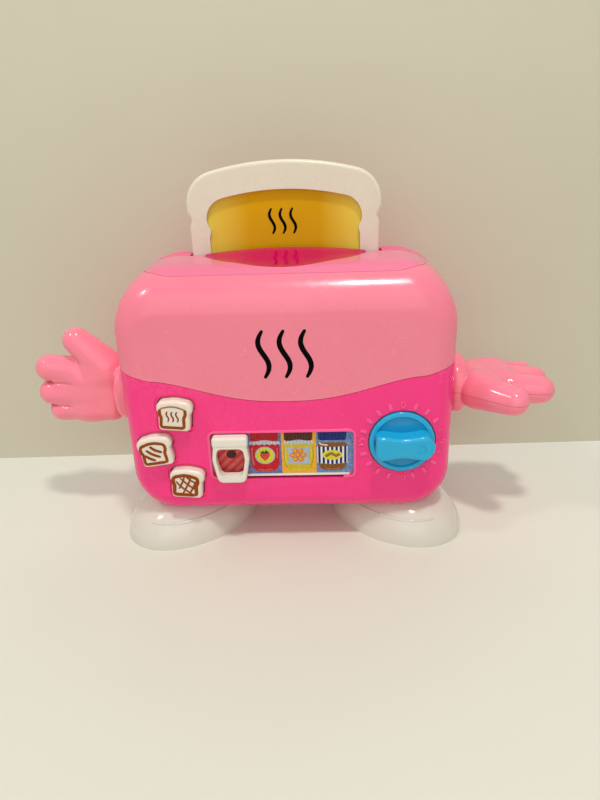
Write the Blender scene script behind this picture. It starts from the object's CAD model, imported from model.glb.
"""Looks of a toy toaster with a pop-up slice, bread keys, a picture slider and a dial.

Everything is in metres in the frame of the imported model. Sizes below are written in
millimetres, as on a drawing, and turned into metres where a mesh is made.
"""

import logging
import math
from dataclasses import dataclass
from enum import Enum
from typing import Callable

import bmesh
import bpy
import numpy as np
from mathutils import Matrix, Vector
from mathutils.bvhtree import BVHTree

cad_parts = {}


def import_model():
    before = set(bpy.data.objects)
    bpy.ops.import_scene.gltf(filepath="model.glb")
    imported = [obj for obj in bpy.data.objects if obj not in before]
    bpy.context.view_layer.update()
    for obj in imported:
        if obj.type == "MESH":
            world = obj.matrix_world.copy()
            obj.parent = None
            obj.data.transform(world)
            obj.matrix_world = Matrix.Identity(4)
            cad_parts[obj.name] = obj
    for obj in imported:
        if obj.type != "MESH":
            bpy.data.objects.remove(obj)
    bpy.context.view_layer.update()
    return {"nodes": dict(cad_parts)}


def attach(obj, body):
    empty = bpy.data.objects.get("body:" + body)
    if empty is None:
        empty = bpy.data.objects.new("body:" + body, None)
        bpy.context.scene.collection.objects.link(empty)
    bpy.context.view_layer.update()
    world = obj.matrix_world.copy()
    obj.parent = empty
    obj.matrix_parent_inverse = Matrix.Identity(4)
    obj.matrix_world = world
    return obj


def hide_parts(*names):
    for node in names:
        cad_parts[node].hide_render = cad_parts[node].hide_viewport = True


LOG = logging.getLogger("toy_toaster")
MM = 0.001

Colour = tuple[float, float, float]
Point = tuple[float, float]
Corner = tuple[float, float, float]
Field = Callable[[np.ndarray], np.ndarray]
Socket = bpy.types.NodeSocket
Node = bpy.types.Node
NodeTree = bpy.types.NodeTree
Material = bpy.types.Material
Thing = bpy.types.Object
Nodes = dict[str, Thing]


# Node trees


class Kind(Enum):
    """Kinds of socket that the node groups have."""

    COLOUR = "NodeSocketColor"
    VALUE = "NodeSocketFloat"


class Tree:
    """Adds nodes to one node tree and joins them."""

    def __init__(self, tree: NodeTree) -> None:
        """Keeps the tree that the nodes go into."""
        self.tree = tree

    def add(self, kind: str, inputs: dict | None = None, **settings: object) -> Node:
        """Adds a node.

        Args:
            kind: the node's type name.
            inputs: for each input, by name or place, its value or the output that feeds it.
            settings: the node's own properties.

        Returns:
            The new node.
        """
        node = self.tree.nodes.new(kind)
        for key, value in settings.items():
            setattr(node, key, value)
        for key, value in (inputs or {}).items():
            if isinstance(value, Socket):
                self.tree.links.new(value, node.inputs[key])
            else:
                node.inputs[key].default_value = value
        return node

    def math(self, kind: str, first: object, second: object = 0.0, third: object = 0.0) -> Socket:
        """Adds a Math node and returns its output."""
        return self.add("ShaderNodeMath", {0: first, 1: second, 2: third}, operation=kind).outputs[0]

    def blend(self, share: object, first: object, second: object, how: str = "MIX") -> Socket:
        """Mixes two colours and returns the result.

        Args:
            share: how much of the second colour.
            first: the first colour or the output that gives it.
            second: the second colour or the output that gives it.
            how: the blend type.

        Returns:
            The output with the mixed colour.
        """
        node = self.add("ShaderNodeMix", {0: share, 6: first, 7: second}, data_type="RGBA", blend_type=how)
        return node.outputs[2]

    def span(self, value: object, low: object, high: object, first: float = 0.0, last: float = 1.0) -> Socket:
        """Maps a value from low..high to first..last, held at the ends, and returns the output."""
        made = {0: value, 1: low, 2: high, 3: first, 4: last}
        return self.add("ShaderNodeMapRange", made, clamp=True).outputs[0]

    def noise(self, place: object, scale: float, detail: float = 2.0, twist: float = 0.0) -> Socket:
        """Adds a noise and returns its value.

        Args:
            place: the output with the coordinates.
            scale: turns per metre.
            detail: how many finer layers it has.
            twist: its distortion.

        Returns:
            The noise value from 0 to 1.
        """
        made = {"Vector": place, "Scale": scale, "Detail": detail, "Distortion": twist}
        return self.add("ShaderNodeTexNoise", made).outputs[0]

    def place(self, stretch: Colour = (1.0, 1.0, 1.0)) -> Socket:
        """Gives the object's own coordinates, stretched by three factors."""
        own = self.add("ShaderNodeTexCoord").outputs["Object"]
        if stretch == (1.0, 1.0, 1.0):
            return own
        return self.add("ShaderNodeMapping", {"Vector": own, "Scale": stretch}).outputs[0]

    def along(self, axis: str) -> Socket:
        """Gives the object's own coordinate along X, Y or Z, in metres."""
        return self.add("ShaderNodeSeparateXYZ", {0: self.place()}).outputs[axis]


def rgba(colour: Colour) -> tuple[float, float, float, float]:
    """Gives a colour with full cover."""
    return (*colour, 1.0)


SURFACE = {"Colour": Kind.COLOUR, "Roughness": Kind.VALUE, "Height": Kind.VALUE}


class Group:
    """A node group with named sockets, made once."""

    def __init__(self, name: str, inputs: dict[str, object], outputs: dict[str, Kind]) -> None:
        """Makes the group's tree and its sockets.

        Args:
            name: the group's name.
            inputs: for each input the value it has when nothing is set, a colour or a number.
            outputs: the kind of each output.
        """
        self.made = bpy.data.node_groups.new(name, "ShaderNodeTree")
        for label, start in inputs.items():
            colour = isinstance(start, tuple)
            kind = Kind.COLOUR if colour else Kind.VALUE
            socket = self.made.interface.new_socket(name=label, in_out="INPUT", socket_type=kind.value)
            socket.default_value = rgba(start) if colour else start
        for label, kind in outputs.items():
            self.made.interface.new_socket(name=label, in_out="OUTPUT", socket_type=kind.value)
        self.tree = Tree(self.made)
        self.inputs = self.made.nodes.new("NodeGroupInput").outputs
        self.outputs = self.made.nodes.new("NodeGroupOutput").inputs

    def give(self, **results: Socket) -> NodeTree:
        """Joins results to the outputs of the same name and returns the group's tree."""
        for label, result in results.items():
            self.made.links.new(result, self.outputs[label])
        return self.made


def moulded_surface() -> NodeTree:
    """Effect of moulded plastic: slight changes of tone, smudges, hairlines and a fine skin.

    Returns:
        The group, with Colour, Roughness and Height (in millimetres).
    """
    found = bpy.data.node_groups.get("moulded_surface")
    if found:
        return found
    inputs = {"Colour": (0.8, 0.8, 0.8), "Deep": (0.6, 0.6, 0.6), "Tone": 0.3, "Roughness": 0.3,
              "Smudge": 0.08, "Grain": 0.004}
    group = Group("moulded_surface", inputs, SURFACE)
    tree, given = group.tree, group.inputs
    place = tree.place()
    cloud = tree.span(tree.noise(place, 16.0, 3.0, 0.4), 0.35, 0.7)
    colour = tree.blend(tree.math("MULTIPLY", cloud, given["Tone"]), given["Colour"], given["Deep"])
    speck = tree.span(tree.noise(place, 1500.0, 1.0), 0.74, 0.8, 0.0, 0.35)
    colour = tree.blend(tree.math("MULTIPLY", speck, given["Tone"]), colour, given["Deep"])
    smudge = tree.span(tree.noise(place, 75.0, 4.0, 1.2), 0.42, 0.72)
    hair = tree.noise(tree.place((1500.0, 130.0, 190.0)), 1.0, 0.0, 0.2)
    hair = tree.span(hair, 0.74, 0.82, 0.0, 0.12)
    handled = tree.math("MULTIPLY", tree.math("ADD", smudge, hair), given["Smudge"])
    rough = tree.math("ADD", given["Roughness"], handled)
    skin = tree.math("MULTIPLY", tree.noise(place, 1900.0, 2.0), given["Grain"])
    wave = tree.math("MULTIPLY", tree.noise(place, 38.0, 1.0), tree.math("MULTIPLY", given["Grain"], 9.0))
    return group.give(Colour=colour, Roughness=rough, Height=tree.math("ADD", skin, wave))


def rubbed_edge() -> NodeTree:
    """Effect of handled edges: a mask that is 1 where the form is sharp and worn.

    Returns:
        The group, with Mask.
    """
    found = bpy.data.node_groups.get("rubbed_edge")
    if found:
        return found
    group = Group("rubbed_edge", {"Low": 0.52, "High": 0.62, "Amount": 0.5}, {"Mask": Kind.VALUE})
    tree, given = group.tree, group.inputs
    sharp = tree.add("ShaderNodeNewGeometry").outputs["Pointiness"]
    edge = tree.span(sharp, given["Low"], given["High"])
    broken = tree.span(tree.noise(tree.place(), 420.0, 3.0), 0.35, 0.6)
    mask = tree.math("MULTIPLY", tree.math("MULTIPLY", edge, broken), given["Amount"])
    return group.give(Mask=mask)


def printed_ink() -> NodeTree:
    """Effect of pad-printed ink: uneven cover, fine pinholes and a slight orange peel.

    Returns:
        The group, with Colour, Roughness and Height (in millimetres).
    """
    found = bpy.data.node_groups.get("printed_ink")
    if found:
        return found
    inputs = {"Colour": (0.0, 0.0, 0.0), "Thin": (0.1, 0.1, 0.1), "Uneven": 0.4, "Roughness": 0.3}
    group = Group("printed_ink", inputs, SURFACE)
    tree, given = group.tree, group.inputs
    place = tree.place()
    cover = tree.span(tree.noise(place, 520.0, 4.0, 0.6), 0.35, 0.75)
    hole = tree.span(tree.noise(place, 3600.0, 1.0), 0.76, 0.8)
    thin = tree.math("MULTIPLY", tree.math("MAXIMUM", cover, hole), given["Uneven"])
    colour = tree.blend(thin, given["Colour"], given["Thin"])
    rough = tree.math("MULTIPLY_ADD", cover, 0.12, given["Roughness"])
    peel = tree.math("MULTIPLY", tree.noise(place, 900.0, 1.0), 0.01)
    return group.give(Colour=colour, Roughness=rough, Height=peel)


def worked_metal() -> NodeTree:
    """Effect of plated steel: drawn lines, dull patches and darker pits.

    Returns:
        The group, with Colour, Roughness and Height (in millimetres).
    """
    found = bpy.data.node_groups.get("worked_metal")
    if found:
        return found
    inputs = {"Colour": (0.6, 0.6, 0.6), "Dull": (0.3, 0.3, 0.3), "Roughness": 0.25}
    group = Group("worked_metal", inputs, SURFACE)
    tree, given = group.tree, group.inputs
    lines = tree.noise(tree.place((2600.0, 2600.0, 220.0)), 1.0, 2.0)
    patch = tree.span(tree.noise(tree.place(), 240.0, 3.0, 0.8), 0.45, 0.7)
    colour = tree.blend(patch, given["Colour"], given["Dull"])
    rough = tree.math("ADD", given["Roughness"], tree.math("MULTIPLY", tree.math("ADD", lines, patch), 0.16))
    return group.give(Colour=colour, Roughness=rough, Height=tree.math("MULTIPLY", lines, 0.006))


# Finishes

PLASTIC_IOR = 1.49
COAT_ROUGHNESS = 0.06
SOFT_SCALE = 0.003


@dataclass(frozen=True)
class Finish:
    """A named finish that makes its material once."""

    name: str

    def material(self) -> Material:
        """Gives the finish's material, made the first time that it is asked for."""
        found = bpy.data.materials.get(self.name)
        if found:
            return found
        made = bpy.data.materials.new(self.name)
        made.use_nodes = True
        made.node_tree.nodes.clear()
        tree = Tree(made.node_tree)
        shader = tree.add("ShaderNodeBsdfPrincipled")
        self.fill(tree, shader)
        tree.add("ShaderNodeOutputMaterial", {"Surface": shader.outputs[0]})
        return made

    def fill(self, tree: Tree, shader: Node) -> None:
        """Sets and feeds the shader; each kind of finish has its own."""
        raise NotImplementedError

    def feed(self, tree: Tree, shader: Node, source: Node, colour: object = None) -> None:
        """Joins an effect's outputs to the shader.

        Args:
            tree: the material's tree.
            shader: the Principled BSDF.
            source: the group node with Colour, Roughness and Height.
            colour: the output that gives the colour, where it isn't the group's own.
        """
        tree.tree.links.new(colour or source.outputs["Colour"], shader.inputs["Base Color"])
        tree.tree.links.new(source.outputs["Roughness"], shader.inputs["Roughness"])
        made = {"Strength": 1.0, "Distance": MM, "Height": source.outputs["Height"]}
        tree.tree.links.new(tree.add("ShaderNodeBump", made).outputs[0], shader.inputs["Normal"])

    def effect(self, tree: Tree, group: NodeTree, **values: object) -> Node:
        """Places a group in the material.

        Args:
            tree: the material's tree.
            group: the group to place.
            values: the values of its inputs.

        Returns:
            The group node.
        """
        node = tree.add("ShaderNodeGroup")
        node.node_tree = group
        for label, value in values.items():
            node.inputs[label].default_value = rgba(value) if isinstance(value, tuple) else value
        return node


@dataclass(frozen=True)
class Plastic(Finish):
    """Moulded toy plastic."""

    colour: Colour
    deep: Colour
    roughness: float = 0.24
    coat: float = 0.25
    gloss: float = 0.42
    soft: float = 0.0
    soft_reach: Colour = (1.0, 0.3, 0.3)
    tone: float = 0.35
    smudge: float = 0.08
    grain: float = 0.003
    worn: float = 0.0
    marks: Colour | None = None
    marks_from: float = 0.0465
    marks_full: float = 0.0469

    def fill(self, tree: Tree, shader: Node) -> None:
        """Feeds the moulded surface, paler on rubbed edges and on marks raised on the front."""
        surface = self.effect(tree, moulded_surface(), Colour=self.colour, Deep=self.deep, Tone=self.tone,
                              Roughness=self.roughness, Smudge=self.smudge, Grain=self.grain)
        colour = None
        if self.worn > 0:
            edge = self.effect(tree, rubbed_edge(), Amount=self.worn)
            pale = tuple(min(1.0, 0.35 + 0.7 * part) for part in self.colour)
            colour = tree.blend(edge.outputs["Mask"], surface.outputs["Colour"], rgba(pale))
        if self.marks:
            ahead = tree.math("MULTIPLY", tree.along("Y"), -1.0)
            raised = tree.span(ahead, self.marks_from, self.marks_full)
            colour = tree.blend(raised, colour or surface.outputs["Colour"], rgba(self.marks))
        self.feed(tree, shader, surface, colour)
        shader.inputs["IOR"].default_value = PLASTIC_IOR
        shader.inputs["Specular IOR Level"].default_value = self.gloss
        shader.inputs["Coat Weight"].default_value = self.coat
        shader.inputs["Coat Roughness"].default_value = COAT_ROUGHNESS
        if self.soft > 0:
            shader.inputs["Subsurface Weight"].default_value = self.soft
            shader.inputs["Subsurface Radius"].default_value = self.soft_reach
            shader.inputs["Subsurface Scale"].default_value = SOFT_SCALE


@dataclass(frozen=True)
class AmberPanel(Finish):
    """Clear amber panel, deep in the middle and pale towards its sides."""

    middle: Colour = (0.73, 0.39, 0.0)
    side: Colour = (0.82, 0.68, 0.1)
    fade_from: float = 0.024
    fade_to: float = 0.053

    def fill(self, tree: Tree, shader: Node) -> None:
        """Mixes the two ambers by how far a point is from the middle."""
        deep = tuple(0.82 * part for part in self.middle)
        surface = self.effect(tree, moulded_surface(), Colour=self.middle, Deep=deep, Tone=0.5,
                              Roughness=0.12, Smudge=0.1, Grain=0.002)
        across = tree.math("ABSOLUTE", tree.along("X"))
        share = tree.span(across, self.fade_from, self.fade_to)
        cloud = tree.span(tree.noise(tree.place(), 60.0, 2.0, 0.5), 0.3, 0.7, 0.85, 1.1)
        colour = tree.blend(tree.math("MULTIPLY", share, cloud), surface.outputs["Colour"], rgba(self.side))
        self.feed(tree, shader, surface, colour)
        shader.inputs["Specular IOR Level"].default_value = 0.15
        shader.inputs["Coat Weight"].default_value = 0.05
        shader.inputs["Coat Roughness"].default_value = 0.04
        shader.inputs["Subsurface Weight"].default_value = 0.3
        shader.inputs["Subsurface Radius"].default_value = (1.0, 0.5, 0.1)
        shader.inputs["Subsurface Scale"].default_value = 0.002


@dataclass(frozen=True)
class Ink(Finish):
    """Pad-printed ink or the ink of a printed card."""

    colour: Colour
    thin: Colour
    roughness: float = 0.22
    uneven: float = 0.3
    coat: float = 0.08
    gloss: float = 0.22

    def fill(self, tree: Tree, shader: Node) -> None:
        """Feeds the printed ink."""
        surface = self.effect(tree, printed_ink(), Colour=self.colour, Thin=self.thin, Uneven=self.uneven,
                              Roughness=self.roughness)
        self.feed(tree, shader, surface)
        shader.inputs["Coat Weight"].default_value = self.coat
        shader.inputs["Coat Roughness"].default_value = 0.08
        shader.inputs["Specular IOR Level"].default_value = self.gloss


@dataclass(frozen=True)
class Steel(Finish):
    """Plated steel of screws, springs and rods."""

    colour: Colour = (0.62, 0.61, 0.58)
    dull: Colour = (0.42, 0.4, 0.37)
    roughness: float = 0.22

    def fill(self, tree: Tree, shader: Node) -> None:
        """Feeds the worked metal."""
        surface = self.effect(tree, worked_metal(), Colour=self.colour, Dull=self.dull,
                              Roughness=self.roughness)
        self.feed(tree, shader, surface)
        shader.inputs["Metallic"].default_value = 1.0


@dataclass(frozen=True)
class CircuitBoard(Finish):
    """Green board with paler copper tracks under the lacquer."""

    lacquer: Colour = (0.02, 0.16, 0.05)
    deep: Colour = (0.01, 0.1, 0.03)
    track: Colour = (0.07, 0.33, 0.11)

    def fill(self, tree: Tree, shader: Node) -> None:
        """Draws tracks as the edges of a square cell pattern."""
        made = {"Vector": tree.place(), "Scale": 150.0, "Randomness": 0.8}
        cells = tree.add("ShaderNodeTexVoronoi", made, distance="CHEBYCHEV", feature="F1")
        track = tree.span(tree.math("PINGPONG", cells.outputs["Distance"], 0.16), 0.05, 0.08)
        surface = self.effect(tree, moulded_surface(), Colour=self.lacquer, Deep=self.deep, Roughness=0.3,
                              Grain=0.004)
        self.feed(tree, shader, surface, tree.blend(track, surface.outputs["Colour"], rgba(self.track)))


@dataclass(frozen=True)
class CellWrap(Finish):
    """Printed wrap of a dry cell: dark with a gold end."""

    wrap: Colour = (0.02, 0.02, 0.025)
    band: Colour = (0.55, 0.3, 0.06)
    band_from: float = 0.0725
    band_full: float = 0.0728

    def fill(self, tree: Tree, shader: Node) -> None:
        """Colours the upper end of the cells gold."""
        share = tree.span(tree.along("Z"), self.band_from, self.band_full)
        surface = self.effect(tree, printed_ink(), Colour=self.wrap, Thin=(0.05, 0.05, 0.06), Uneven=0.4,
                              Roughness=0.28)
        self.feed(tree, shader, surface, tree.blend(share, surface.outputs["Colour"], rgba(self.band)))


HOT_PINK = Plastic(
    "hot_pink_plastic", (0.98, 0.03, 0.24), (0.94, 0.022, 0.205), roughness=0.2, coat=0.15, worn=0.1,
    marks=(1.0, 0.1, 0.32),
)
SOFT_PINK = Plastic(
    "light_pink_plastic", (0.9, 0.225, 0.31), (0.87, 0.19, 0.275),
    roughness=0.2, coat=0.2, worn=0.1,
)
TOP_PINK = Plastic(
    "top_pink_plastic", (0.84, 0.185, 0.32), (0.8, 0.155, 0.285),
    roughness=0.18, coat=0.2, worn=0.1,
)
HAND_PINK = Plastic(
    "hand_pink_plastic", (0.98, 0.25, 0.34), (0.95, 0.205, 0.295), roughness=0.13, coat=0.3, soft=0.12,
    soft_reach=(1.0, 0.25, 0.3), tone=0.5,
)
CRIMSON = Plastic(
    "crimson_plastic", (0.56, 0.0, 0.09), (0.48, 0.0, 0.07),
    roughness=0.1, coat=0.05, gloss=0.2,
)
WHITE = Plastic(
    "white_plastic", (0.82, 0.78, 0.68), (0.78, 0.73, 0.62), roughness=0.22, coat=0.2, soft=0.2,
    soft_reach=(1.0, 0.85, 0.6), worn=0.2,
)
TOAST_WHITE = Plastic(
    "toast_white_plastic", (0.77, 0.71, 0.58), (0.72, 0.65, 0.5), roughness=0.3, coat=0.12, soft=0.35,
    soft_reach=(1.0, 0.85, 0.6), tone=0.5, worn=0.25,
)
SHOE_WHITE = Plastic(
    "shoe_white_plastic", (0.72, 0.675, 0.59), (0.68, 0.635, 0.54), roughness=0.1, coat=0.4, soft=0.25,
    soft_reach=(1.0, 0.85, 0.65), smudge=0.1, worn=0.2,
)
KEY_WHITE = Plastic(
    "key_white_plastic", (0.84, 0.75, 0.64), (0.78, 0.68, 0.56), roughness=0.22, coat=0.25, soft=0.25,
    soft_reach=(1.0, 0.8, 0.6), worn=0.2,
)
BLUE = Plastic(
    "blue_plastic", (0.004, 0.3, 0.58), (0.003, 0.26, 0.53), roughness=0.16, coat=0.2, worn=0.2,
    marks=(0.008, 0.42, 0.72), marks_from=0.0471, marks_full=0.0479,
)
GREY = Plastic(
    "grey_plastic_finish", (0.3, 0.3, 0.3), (0.22, 0.22, 0.22),
    roughness=0.42, coat=0.0, grain=0.01,
)
RUBBER = Plastic(
    "rubber_pad_finish", (0.09, 0.09, 0.09), (0.05, 0.05, 0.05),
    roughness=0.68, coat=0.0, grain=0.012,
)
CARD = Ink("card_finish", (0.62, 0.62, 0.62), (0.7, 0.7, 0.7), roughness=0.4)
AMBER = AmberPanel("amber_panel")
STEEL = Steel("steel_finish")
BOARD = CircuitBoard("board_finish")
CELL = CellWrap("cell_finish")

BLACK_INK = Ink(
    "black_ink", (0.001, 0.001, 0.0015), (0.003, 0.003, 0.004),
    roughness=0.12, coat=0.0, gloss=0.04,
)
WHITE_INK = Ink("white_ink", (0.82, 0.8, 0.77), (0.74, 0.72, 0.7))
BROWN_INK = Ink("brown_ink", (0.27, 0.05, 0.002), (0.38, 0.1, 0.012), uneven=0.5, gloss=0.12)
LILAC_INK = Ink("lilac_ink", (0.1, 0.13, 0.34), (0.26, 0.25, 0.46), uneven=0.9)
ORANGE_INK = Ink("orange_ink", (0.86, 0.36, 0.008), (0.85, 0.5, 0.05), uneven=0.8)
SKY_INK = Ink("sky_ink", (0.08, 0.18, 0.42), (0.27, 0.36, 0.56), uneven=0.95)
RED_INK = Ink("red_ink", (0.5, 0.004, 0.014), (0.62, 0.03, 0.04), uneven=0.5)
SCARLET_INK = Ink("scarlet_ink", (0.62, 0.03, 0.04), (0.7, 0.07, 0.07), uneven=0.5)
DEEP_RED_INK = Ink("deep_red_ink", (0.2, 0.004, 0.012), (0.3, 0.015, 0.03), uneven=0.5)
PALE_RED_INK = Ink("pale_red_ink", (0.62, 0.12, 0.11), (0.68, 0.2, 0.17), uneven=0.6)
BERRY_INK = Ink("berry_ink", (0.03, 0.006, 0.006), (0.06, 0.015, 0.012), uneven=0.6)
SEED_INK = Ink("seed_ink", (0.13, 0.03, 0.025), (0.18, 0.06, 0.05), uneven=0.6)
OLIVE_GOLD_INK = Ink("olive_gold_ink", (0.56, 0.42, 0.012), (0.66, 0.52, 0.05), uneven=0.8)
GOLD_INK = Ink("gold_ink", (0.75, 0.5, 0.03), (0.85, 0.64, 0.12), uneven=0.6)
HONEY_INK = Ink("honey_ink", (0.62, 0.16, 0.006), (0.7, 0.25, 0.02), uneven=0.5)
CREAM_INK = Ink("cream_ink", (0.8, 0.68, 0.5), (0.84, 0.76, 0.6))
COCOA_INK = Ink("cocoa_ink", (0.06, 0.014, 0.008), (0.1, 0.03, 0.018), uneven=0.5)
NUT_INK = Ink("nut_ink", (0.2, 0.07, 0.012), (0.27, 0.12, 0.03), uneven=0.7)
TAN_INK = Ink("tan_ink", (0.4, 0.16, 0.05), (0.46, 0.22, 0.08), uneven=0.5)
NAVY_INK = Ink("navy_ink", (0.006, 0.01, 0.12), (0.015, 0.03, 0.2), uneven=0.5)
BLUE_RIB_INK = Ink("blue_rib_ink", (0.015, 0.04, 0.28), (0.03, 0.07, 0.36), uneven=0.5)
RUFF_INK = Ink("ruff_ink", (0.36, 0.43, 0.52), (0.5, 0.56, 0.6), uneven=0.7)
CLOTH_INK = Ink("cloth_ink", (0.6, 0.64, 0.62), (0.68, 0.7, 0.68), uneven=0.7)
LEAF_INK = Ink("leaf_ink", (0.015, 0.08, 0.01), (0.05, 0.17, 0.03), uneven=0.5)
LEMON_INK = Ink("lemon_ink", (0.66, 0.6, 0.02), (0.74, 0.68, 0.1), uneven=0.4)


# Mesh tools


def metres(place: tuple | list | np.ndarray | Vector) -> Vector:
    """Turns a place in millimetres into metres."""
    return Vector((place[0] * MM, place[1] * MM, place[2] * MM))


def rounded(corners: list[Corner], steps: int = 6) -> list[Point]:
    """Samples a closed outline with an arc at each corner.

    Args:
        corners: for each corner its two coordinates and the arc's radius.
        steps: how many parts each arc has.

    Returns:
        The points, the same number for each corner.
    """
    points: list[Point] = []
    count = len(corners)
    for index, (first, second, radius) in enumerate(corners):
        here = Vector((first, second))
        before = Vector(corners[index - 1][:2]) - here
        after = Vector(corners[(index + 1) % count][:2]) - here
        reach = 0.49 * min(before.length, after.length)
        start, end = before.normalized(), after.normalized()
        half = 0.5 * math.acos(max(-1.0, min(1.0, start.dot(end))))
        cut = min(radius / max(math.tan(half), 1e-6), reach)
        size = cut * math.tan(half)
        line = start + end
        if line.length < 1e-6 or size < 1e-6:
            points += [(here.x, here.y)] * (steps + 1)
            continue
        centre = here + line.normalized() * math.hypot(size, cut)
        low = here + start * cut - centre
        high = here + end * cut - centre
        turn = low.angle_signed(high)
        for step in range(steps + 1):
            angle = -turn * step / steps
            ray = Vector((low.x * math.cos(angle) - low.y * math.sin(angle),
                          low.x * math.sin(angle) + low.y * math.cos(angle)))
            points.append((centre.x + ray.x, centre.y + ray.y))
    return points


def oval(centre: Point, wide: float, high: float, count: int = 40, lean: float = 0.0) -> list[Point]:
    """Samples an ellipse.

    Args:
        centre: its middle.
        wide: its half width.
        high: its half height.
        count: how many points it has.
        lean: its turn in degrees.

    Returns:
        The points.
    """
    turn = math.radians(lean)
    points = []
    for index in range(count):
        angle = 2 * math.pi * index / count
        across, up = wide * math.cos(angle), high * math.sin(angle)
        points.append((centre[0] + across * math.cos(turn) - up * math.sin(turn),
                       centre[1] + across * math.sin(turn) + up * math.cos(turn)))
    return points


def arc(centre: Point, wide: float, high: float, start: float, end: float, count: int = 24) -> list[Point]:
    """Samples part of an ellipse from one angle to another, in degrees."""
    angles = [math.radians(start + (end - start) * index / (count - 1)) for index in range(count)]
    return [(centre[0] + wide * math.cos(angle), centre[1] + high * math.sin(angle)) for angle in angles]


def smooth_line(points: list[Point], parts: int = 8) -> list[Point]:
    """Samples a smooth line through points.

    Args:
        points: the points that the line goes through.
        parts: how many parts each span has.

    Returns:
        The sampled points.
    """
    full = [points[0], *points, points[-1]]
    line = []
    for index in range(1, len(full) - 2):
        p0, p1, p2, p3 = (np.array(full[index + shift], float) for shift in (-1, 0, 1, 2))
        for part in range(parts):
            t = part / parts
            spot = 0.5 * (2 * p1 + (p2 - p0) * t + (2 * p0 - 5 * p1 + 4 * p2 - p3) * t**2
                          + (3 * p1 - p0 - 3 * p2 + p3) * t**3)
            line.append((float(spot[0]), float(spot[1])))
    line.append(points[-1])
    return line


def mesh_object(name: str, verts: list, faces: list, smooth: bool = True) -> Thing:
    """Makes an object from points in millimetres.

    Args:
        name: the piece's name.
        verts: the points.
        faces: the faces as lists of point numbers.
        smooth: whether its faces are shaded smooth.

    Returns:
        The new object, with its normals outwards.
    """
    mesh = bpy.data.meshes.new(name)
    mesh.from_pydata([metres(vert) for vert in verts], [], faces)
    work = bmesh.new()
    work.from_mesh(mesh)
    bmesh.ops.recalc_face_normals(work, faces=work.faces)
    work.to_mesh(mesh)
    work.free()
    for face in mesh.polygons:
        face.use_smooth = smooth
    thing = bpy.data.objects.new(name, mesh)
    bpy.context.scene.collection.objects.link(thing)
    return thing


def settle(piece: Thing, body: str, slot: str, *stands_for: str) -> Thing:
    """Makes a new piece ride on a body, with its slot and the nodes that it stands for."""
    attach(piece, body)
    if stands_for:
        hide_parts(*stands_for)
    LOG.info("piece %s on %s", piece.name, body)
    return piece


def dress(nodes: Nodes, finish: Finish, *names: str) -> None:
    """Gives carried-over nodes their finish."""
    for name in names:
        slots = nodes[name].data.materials
        if not len(slots):
            slots.append(finish.material())
        for index in range(len(slots)):
            slots[index] = finish.material()
        LOG.info("node %s in %s", name, finish.name)


def surface_net(field_of: Field, low: Colour, high: Colour, step: float) -> tuple[np.ndarray, np.ndarray]:
    """Meshes the surface where a distance field is zero.

    Args:
        field_of: gives the distance of each of many points.
        low: the lowest corner of the space.
        high: its highest corner.
        step: the size of a cell.

    Returns:
        The points and the four-sided faces.
    """
    axes = [np.arange(a, b + step, step) for a, b in zip(low, high)]
    grid = np.stack(np.meshgrid(*axes, indexing="ij"), -1)
    value = field_of(grid.reshape(-1, 3)).reshape(grid.shape[:3])
    inside = value < 0
    cells = tuple(size - 1 for size in value.shape)
    total = np.zeros((*cells, 3))
    count = np.zeros(cells)
    for axis in range(3):
        others = [other for other in range(3) if other != axis]
        for first in (0, 1):
            for second in (0, 1):
                near = [None, None, None]
                near[axis] = slice(0, cells[axis])
                near[others[0]] = slice(first, first + cells[others[0]])
                near[others[1]] = slice(second, second + cells[others[1]])
                far = list(near)
                far[axis] = slice(1, cells[axis] + 1)
                a, b = value[tuple(near)], value[tuple(far)]
                crossed = (a < 0) != (b < 0)
                share = np.where(crossed, a / np.where(crossed, a - b, 1.0), 0.0)[..., None]
                spot = grid[tuple(near)] * (1 - share) + grid[tuple(far)] * share
                total += np.where(crossed[..., None], spot, 0.0)
                count += crossed
    used = count > 0
    number = -np.ones(cells, int)
    number[used] = np.arange(int(used.sum()))
    points = total[used] / count[used][:, None]
    faces = []
    for axis in range(3):
        first, second = [other for other in range(3) if other != axis]
        near = [slice(1, size) for size in cells]
        near[axis] = slice(0, cells[axis])
        far = list(near)
        far[axis] = slice(1, cells[axis] + 1)
        a, b = inside[tuple(near)], inside[tuple(far)]
        spots = np.argwhere(a != b)
        starts = a[a != b]
        for offset in range(3):
            spots[:, offset] += near[offset].start
        ring = []
        for shift_one, shift_two in ((-1, -1), (0, -1), (0, 0), (-1, 0)):
            spot = spots.copy()
            spot[:, first] += shift_one
            spot[:, second] += shift_two
            ring.append(number[spot[:, 0], spot[:, 1], spot[:, 2]])
        quad = np.stack(ring, -1)
        flip = starts == (axis == 1)
        quad[flip] = quad[flip][:, ::-1]
        faces.append(quad)
    return points, np.concatenate(faces)


def slope(field_of: Field, points: np.ndarray, step: float = 0.05) -> np.ndarray:
    """Gives the unit direction in which a field grows at each point."""
    parts = []
    for axis in range(3):
        shift = np.zeros(3)
        shift[axis] = step
        parts.append(field_of(points + shift) - field_of(points - shift))
    grown = np.stack(parts, -1)
    return grown / np.maximum(np.linalg.norm(grown, axis=1, keepdims=True), 1e-9)


def onto(field_of: Field, points: np.ndarray, rounds: int = 4) -> np.ndarray:
    """Moves points onto the field's zero surface."""
    for _ in range(rounds):
        points = points - 0.9 * field_of(points)[:, None] * slope(field_of, points)
    return points


def melt(first: np.ndarray, second: np.ndarray, reach: float) -> np.ndarray:
    """Joins two fields with a fillet about as wide as reach."""
    share = np.clip(0.5 + 0.5 * (second - first) / reach, 0.0, 1.0)
    return second * (1 - share) + first * share - reach * share * (1 - share)


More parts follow.
